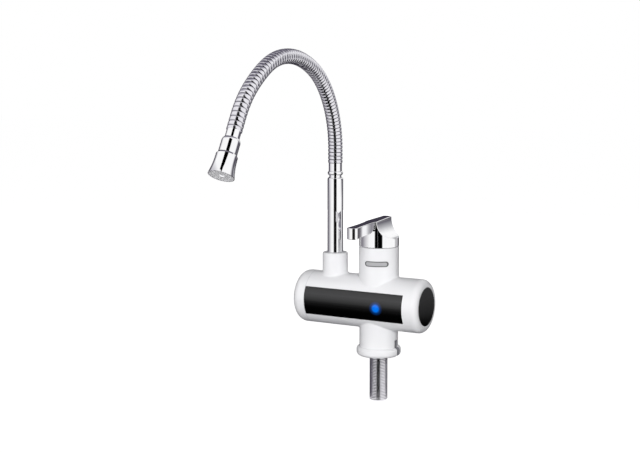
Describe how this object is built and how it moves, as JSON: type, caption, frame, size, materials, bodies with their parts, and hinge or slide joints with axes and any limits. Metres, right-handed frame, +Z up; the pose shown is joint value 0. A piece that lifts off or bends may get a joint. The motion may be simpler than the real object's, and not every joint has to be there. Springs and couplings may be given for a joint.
{
  "type": "electric instant water heater tap",
  "caption": "Deck-mounted electric instant water heater tap: white barrel heater with black panel, chrome lever, swivelling pipe and flexible ribbed gooseneck with spray nozzle.",
  "frame": {"origin": "axis of the neck and shank, in the plane where the flange stands on the deck", "axes": "+Z up along the neck, +X along the heater barrel towards its closed end, -Y out of the front panel"},
  "size_m": [0.1619, 0.2868, 0.409],
  "materials": {
    "white_gloss_shell": "glossy white ABS moulding",
    "black_gloss_trim": "piano-black gloss",
    "blue_lens": "translucent blue, lit from behind",
    "dark_grey_plate": "bare dark grey plate",
    "bright_chrome": "polished chrome plate",
    "gooseneck_sleeve": "bright ribbed steel sleeve",
    "plated_steel": "zinc-plated, machined",
    "black_rubber": "matt",
    "brass": "machined",
    "white_ceramic": "lapped alumina",
    "stainless_steel": "drawn stainless",
    "inner_plastic": "glass-filled nylon",
    "green_board": "solder mask",
    "grey_spray_face": "translucent light grey"
  },
  "bodies": {
    "tap_body": {"main_housing": "white_gloss_shell", "left_end_cap": "white_gloss_shell", "front_panel": "black_gloss_trim", "right_end_disc": "black_gloss_trim", "indicator_lens": "blue_lens", "name_plate": "dark_grey_plate", "threaded_shank": "plated_steel", "base_gasket": "black_rubber", "valve_block": "brass", "cartridge_seal": "black_rubber", "cartridge_body": "inner_plastic", "fixed_disc": "white_ceramic", "cartridge_nut": "brass", "heater_tank": "stainless_steel", "tank_cover": "inner_plastic", "tank_seal": "black_rubber", "heating_element": "stainless_steel", "thermal_cutout": "inner_plastic", "hot_feed_tube": "brass", "cold_bypass_tube": "brass", "flow_switch_body": "inner_plastic", "flow_diaphragm": "black_rubber", "flow_switch_cover": "inner_plastic", "micro_switch": "inner_plastic", "control_board": "green_board", "terminal_block": "inner_plastic", "indicator_led": "blue_lens", "outlet_fitting": "brass"},
    "handle_body": {"handle": "bright_chrome", "handle_screw": "plated_steel", "cartridge_stem": "stainless_steel", "moving_disc": "white_ceramic"},
    "plunger_body": {"flow_plunger": "inner_plastic"},
    "spout_body": {"spout_pipe": "bright_chrome", "spout_seals": "black_rubber", "spout_clip": "plated_steel", "lower_ferrule": "bright_chrome", "gooseneck_01": "gooseneck_sleeve"},
    "hose_02": {"gooseneck_02": "gooseneck_sleeve"},
    "hose_03": {"gooseneck_03": "gooseneck_sleeve"},
    "hose_04": {"gooseneck_04": "gooseneck_sleeve"},
    "hose_05": {"gooseneck_05": "gooseneck_sleeve"},
    "hose_06": {"gooseneck_06": "gooseneck_sleeve"},
    "hose_07": {"gooseneck_07": "gooseneck_sleeve"},
    "hose_08": {"gooseneck_08": "gooseneck_sleeve"},
    "hose_09": {"gooseneck_09": "gooseneck_sleeve"},
    "hose_10": {"gooseneck_10": "gooseneck_sleeve"},
    "hose_11": {"gooseneck_11": "gooseneck_sleeve", "upper_ferrule": "bright_chrome", "nozzle_body": "bright_chrome", "nozzle_ring": "plated_steel"},
    "bell_body": {"nozzle_bell": "bright_chrome", "spray_plate": "grey_spray_face"}
  },
  "joints": [
    {"name": "handle_turn", "type": "hinge", "parent": "tap_body", "child": "handle_body", "pos_m": [0, 0, 0.135], "axis": [0, 0, 1], "range_deg": [-65, 65]},
    {"name": "flow_plunger_slide", "type": "slide", "parent": "tap_body", "child": "plunger_body", "axis": [1, 0, 0], "range_m": [0, 0.0015], "stiffness_N_per_m": 300},
    {"name": "spout_swivel", "type": "hinge", "parent": "tap_body", "child": "spout_body", "pos_m": [-0.0578, 0, 0.1], "axis": [0, 0, 1], "continuous": true},
    {"name": "gooseneck_bend_1", "type": "hinge", "parent": "spout_body", "child": "hose_02", "pos_m": [-0.0578, -0.00075, 0.25268], "axis": [1, 0, 0], "range_deg": [-12, 12]},
    {"name": "gooseneck_sway_1", "type": "hinge", "parent": "hose_02", "child": "hose_03", "pos_m": [-0.0578, -0.00814, 0.28157], "axis": [0, -0.9268, -0.3756], "range_deg": [-12, 12]},
    {"name": "gooseneck_bend_2", "type": "hinge", "parent": "hose_03", "child": "hose_04", "pos_m": [-0.0578, -0.02295, 0.30745], "axis": [1, 0, 0], "range_deg": [-12, 12]},
    {"name": "gooseneck_sway_2", "type": "hinge", "parent": "hose_04", "child": "hose_05", "pos_m": [-0.0578, -0.04462, 0.32788], "axis": [0, -0.5589, -0.8292], "range_deg": [-12, 12]},
    {"name": "gooseneck_bend_3", "type": "hinge", "parent": "hose_05", "child": "hose_06", "pos_m": [-0.0578, -0.07143, 0.34093], "axis": [1, 0, 0], "range_deg": [-12, 12]},
    {"name": "gooseneck_sway_3", "type": "hinge", "parent": "hose_06", "child": "hose_07", "pos_m": [-0.0578, -0.10063, 0.34703], "axis": [0, -0.0749, -0.9972], "range_deg": [-12, 12]},
    {"name": "gooseneck_bend_4", "type": "hinge", "parent": "hose_07", "child": "hose_08", "pos_m": [-0.0578, -0.13039, 0.34521], "axis": [1, 0, 0], "range_deg": [-12, 12]},
    {"name": "gooseneck_sway_4", "type": "hinge", "parent": "hose_08", "child": "hose_09", "pos_m": [-0.0578, -0.15826, 0.33469], "axis": [0, 0.4899, -0.8718], "range_deg": [-12, 12]},
    {"name": "gooseneck_bend_5", "type": "hinge", "parent": "hose_09", "child": "hose_10", "pos_m": [-0.0578, -0.18297, 0.3179], "axis": [1, 0, 0], "range_deg": [-12, 12]},
    {"name": "gooseneck_sway_5", "type": "hinge", "parent": "hose_10", "child": "hose_11", "pos_m": [-0.0578, -0.20367, 0.29645], "axis": [0, 0.809, -0.5878], "range_deg": [-12, 12]},
    {"name": "nozzle_twist", "type": "hinge", "parent": "hose_11", "child": "bell_body", "pos_m": [-0.0578, -0.21885, 0.2707], "axis": [0, -0.4848, -0.8746], "range_deg": [0, 90]}
  ],
  "couplings": [
    {"joint": "gooseneck_bend_2", "follows": "gooseneck_bend_1", "ratio": 1},
    {"joint": "gooseneck_sway_2", "follows": "gooseneck_sway_1", "ratio": 1},
    {"joint": "gooseneck_bend_3", "follows": "gooseneck_bend_1", "ratio": 1},
    {"joint": "gooseneck_sway_3", "follows": "gooseneck_sway_1", "ratio": 1},
    {"joint": "gooseneck_bend_4", "follows": "gooseneck_bend_1", "ratio": 1},
    {"joint": "gooseneck_sway_4", "follows": "gooseneck_sway_1", "ratio": 1},
    {"joint": "gooseneck_bend_5", "follows": "gooseneck_bend_1", "ratio": 1},
    {"joint": "gooseneck_sway_5", "follows": "gooseneck_sway_1", "ratio": 1}
  ]
}
